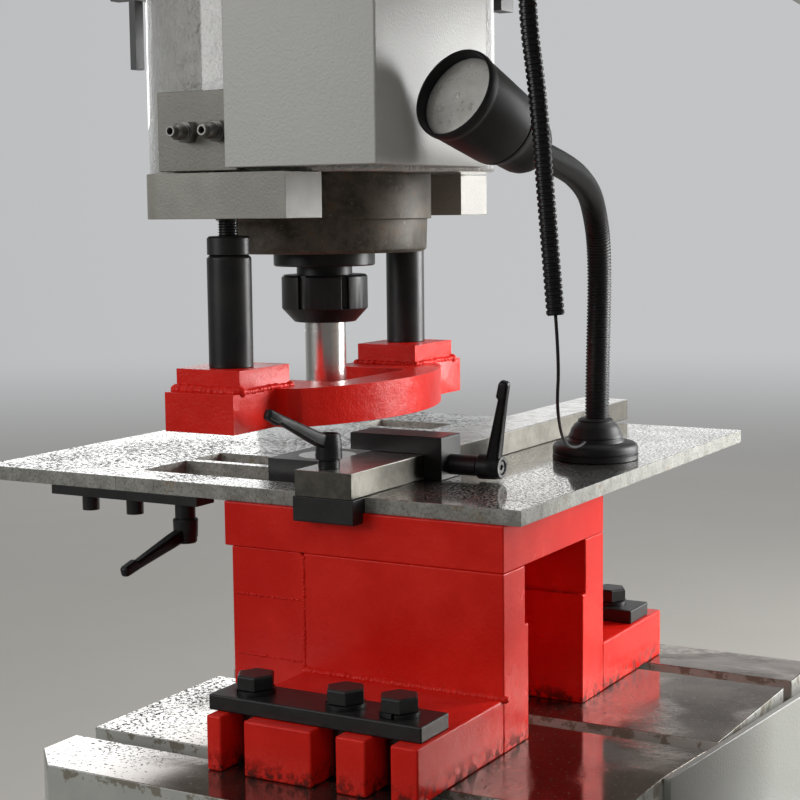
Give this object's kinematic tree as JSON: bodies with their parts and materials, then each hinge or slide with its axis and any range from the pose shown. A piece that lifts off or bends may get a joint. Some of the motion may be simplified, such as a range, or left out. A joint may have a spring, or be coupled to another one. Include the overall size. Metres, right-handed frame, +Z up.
{
  "type": "hydraulic ironworker",
  "caption": "Hydraulic ironworker: C-frame punch press with cast cylinder, red stripper and bolster, T-slotted bed, work table, gauge with clamping levers, and a gooseneck lamp.",
  "frame": {"origin": "on the floor, directly under the punch axis", "axes": "+Z up; +X from the punch into the throat, towards the column; -Y is the side with the port block and the gauge's nose"},
  "size_m": [1.622, 0.889, 1.75],
  "materials": {
    "grey_paint": "gloss",
    "bed_steel": "gloss",
    "red_paint": "gloss",
    "black_oxide": "satin",
    "machined_steel": "satin",
    "turned_iron": "satin",
    "hardened_steel": "polished",
    "lamp_black": "matt",
    "cable_black": "matt",
    "seal_rubber": "matt",
    "lens_glass": "frosted",
    "stop_red": "gloss"
  },
  "bodies": {
    "frame": {"base_plate": "grey_paint", "side_plates": "grey_paint", "frame_walls": "grey_paint", "throat_liner": "grey_paint", "nose_plate": "grey_paint", "nose_brackets": "black_oxide", "bed": "bed_steel", "bed_skirt": "grey_paint", "bolster_block": "red_paint", "bolster_top": "red_paint", "bolster_walls": "red_paint", "bolster_feet": "red_paint", "clamp_bars": "black_oxide", "spring_washers": "black_oxide", "clamp_bolts": "black_oxide", "t_nuts": "black_oxide", "barrel": "grey_paint", "cap": "grey_paint", "gland": "turned_iron", "rod_seal": "seal_rubber", "port_block": "grey_paint", "nipples": "machined_steel", "cover_box": "grey_paint", "ears": "grey_paint", "die_holder": "black_oxide", "die": "hardened_steel", "table_plate": "machined_steel", "table_strip": "machined_steel", "table_extension": "machined_steel", "cross_strip": "machined_steel", "splice_bars": "black_oxide", "splice_screws": "black_oxide", "lamp_base": "lamp_black", "lamp_neck": "lamp_black", "lamp_shade": "lamp_black", "lamp_lens": "lens_glass", "conduit_gland": "lamp_black", "conduit": "cable_black", "lamp_wire": "cable_black", "cabinet": "grey_paint", "tank": "grey_paint", "motor": "grey_paint", "pressure_pipe": "machined_steel"},
    "ram_group": {"ram": "black_oxide", "piston_seal": "seal_rubber", "coupling_nut": "black_oxide", "punch": "hardened_steel"},
    "stripper_group": {"stripper": "red_paint", "stripper_studs": "black_oxide", "stripper_collars": "black_oxide", "stripper_sleeves": "black_oxide"},
    "gauge_group": {"gauge_bar": "machined_steel", "hook_block": "black_oxide"},
    "gauge_head_group": {"gauge_head": "black_oxide"},
    "bar_lever": {"lever_bar": "black_oxide"},
    "head_lever": {"lever_head": "black_oxide"},
    "table_lever": {"lever_table": "black_oxide"},
    "door": {"cabinet_door": "grey_paint"},
    "button": {"stop_button": "stop_red"}
  },
  "joints": [
    {"name": "ram_stroke", "type": "slide", "parent": "frame", "child": "ram_group", "axis": [0, 0, -1], "range_m": [0, 0.058]},
    {"name": "stripper_height", "type": "slide", "parent": "frame", "child": "stripper_group", "axis": [0, 0, 1], "range_m": [0, 0.012]},
    {"name": "gauge_slide", "type": "slide", "parent": "frame", "child": "gauge_group", "axis": [1, 0, 0], "range_m": [0, 0.025]},
    {"name": "gauge_head_slide", "type": "slide", "parent": "gauge_group", "child": "gauge_head_group", "axis": [0, 1, 0], "range_m": [-0.04, 0.09]},
    {"name": "bar_lever_turn", "type": "hinge", "parent": "gauge_group", "child": "bar_lever", "pos_m": [0.072, -0.112, 0.953], "axis": [0, 0, 1], "range_deg": [0, 90]},
    {"name": "head_lever_turn", "type": "hinge", "parent": "gauge_head_group", "child": "head_lever", "pos_m": [0.131, 0.02725, 0.942], "axis": [1, 0, 0], "range_deg": [-60, 40]},
    {"name": "table_lever_turn", "type": "hinge", "parent": "frame", "child": "table_lever", "pos_m": [-0.113, -0.096, 0.9025], "axis": [0, 0, 1], "range_deg": [-80, 50]},
    {"name": "door_hinge", "type": "hinge", "parent": "frame", "child": "door", "pos_m": [0.632, 0.393, 1.24], "axis": [0, 0, 1], "range_deg": [0, 110]},
    {"name": "stop_press", "type": "slide", "parent": "door", "child": "button", "axis": [0, -1, 0], "range_m": [0, 0.005], "stiffness_N_per_m": 400}
  ]
}
